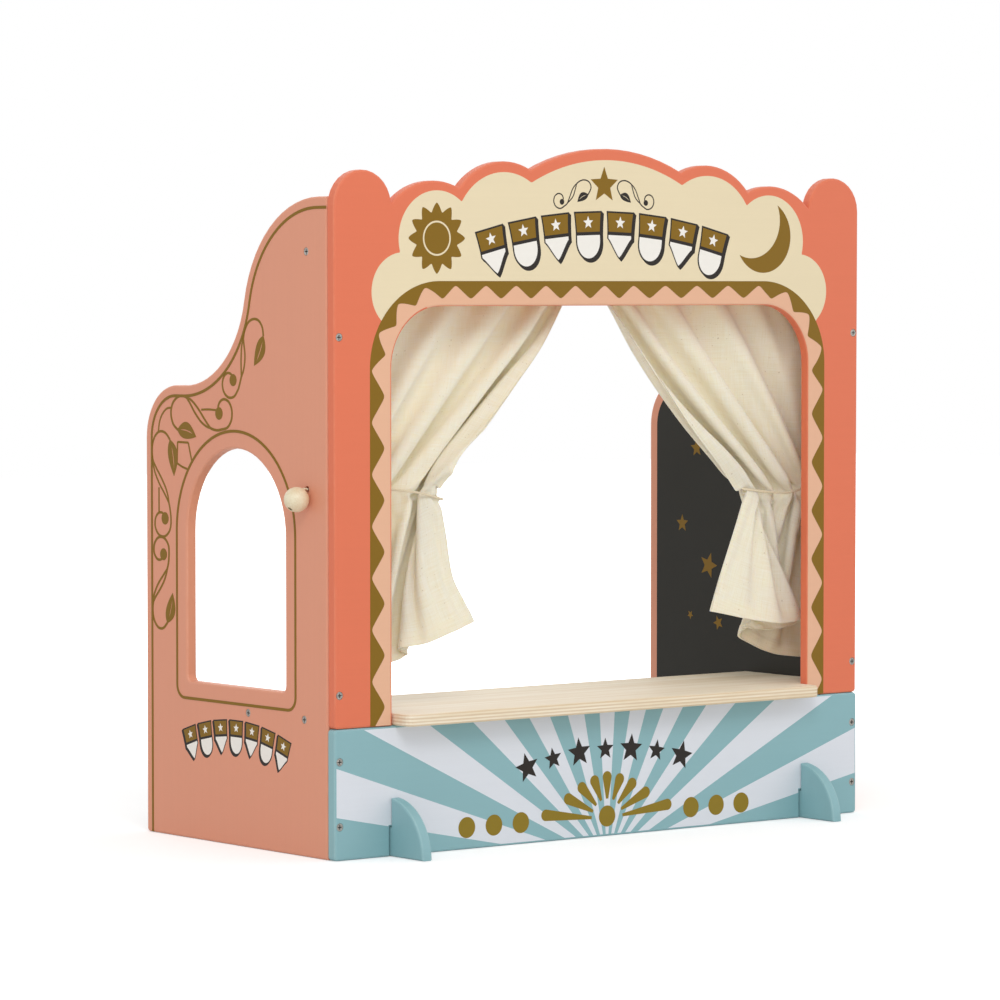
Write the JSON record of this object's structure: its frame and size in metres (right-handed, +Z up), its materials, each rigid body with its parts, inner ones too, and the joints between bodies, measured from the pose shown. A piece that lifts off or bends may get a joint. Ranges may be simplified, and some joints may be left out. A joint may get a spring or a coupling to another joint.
{
  "type": "toy puppet theatre stand",
  "caption": "Tabletop toy puppet theatre: scalloped front boards with a stage opening, two shaped side walls, one with a ticket window, stage shelf, rod with tied-back curtains, and pull-off feet.",
  "frame": {"origin": "centre of the theatre's box on the surface that it stands on", "axes": "+X to the right as seen from in front of the stage, +Y from the front to the open back, +Z up"},
  "size_m": [0.5796, 0.2972, 0.549],
  "materials": {
    "coral_board": "satin coral paint",
    "blue_board": "satin blue and white paint",
    "salmon_board": "satin salmon paint",
    "charcoal_board": "satin charcoal paint inside, salmon outside",
    "plain_wood": "pale, sanded, unpainted",
    "cotton_cloth": "plain woven cream cotton",
    "cotton_cord": "twisted cream cotton",
    "steel": "bright zinc"
  },
  "bodies": {
    "stand": {"front_panel": "coral_board", "base_panel": "blue_board", "left_wall": "salmon_board", "right_wall": "charcoal_board", "stage_shelf": "plain_wood", "curtain_rod": "plain_wood", "front_screw_left_1": "steel", "front_screw_left_2": "steel", "front_screw_left_3": "steel", "front_screw_left_4": "steel", "front_screw_right_1": "steel", "front_screw_right_2": "steel", "front_screw_right_3": "steel", "front_screw_right_4": "steel", "left_rod_screw": "steel", "right_rod_screw": "steel", "left_shelf_screw_1": "steel", "left_shelf_screw_2": "steel", "right_shelf_screw_1": "steel", "right_shelf_screw_2": "steel"},
    "left_foot_body": {"left_foot": "blue_board"},
    "right_foot_body": {"right_foot": "blue_board"},
    "left_curtain_body": {"left_curtain": "cotton_cloth", "left_tieback": "cotton_cord"},
    "right_curtain_body": {"right_curtain": "cotton_cloth", "right_tieback": "cotton_cord"},
    "left_bead_body": {"left_bead": "plain_wood", "left_bead_cord": "cotton_cord"},
    "right_bead_body": {"right_bead": "plain_wood", "right_bead_cord": "cotton_cord"}
  },
  "joints": [
    {"name": "left_curtain_draw", "type": "slide", "parent": "stand", "child": "left_curtain_body", "axis": [-1, 0, 0], "range_m": [0, 0.1], "deforming": ["left_curtain", "left_tieback"]},
    {"name": "right_curtain_draw", "type": "slide", "parent": "stand", "child": "right_curtain_body", "axis": [1, 0, 0], "range_m": [0, 0.1], "deforming": ["right_curtain", "right_tieback"]},
    {"name": "left_bead_swing", "type": "hinge", "parent": "stand", "child": "left_bead_body", "pos_m": [-0.272, -0.07237, 0.2846], "axis": [0, 1, 0], "range_deg": [0, 70]},
    {"name": "right_bead_swing", "type": "hinge", "parent": "stand", "child": "right_bead_body", "pos_m": [0.272, -0.07237, 0.2846], "axis": [0, -1, 0], "range_deg": [0, 70]},
    {"name": "left_foot_pull", "type": "slide", "parent": "stand", "child": "left_foot_body", "axis": [0, 0, -1], "range_m": [0, 0.03]},
    {"name": "right_foot_pull", "type": "slide", "parent": "stand", "child": "right_foot_body", "axis": [0, 0, -1], "range_m": [0, 0.03]}
  ]
}
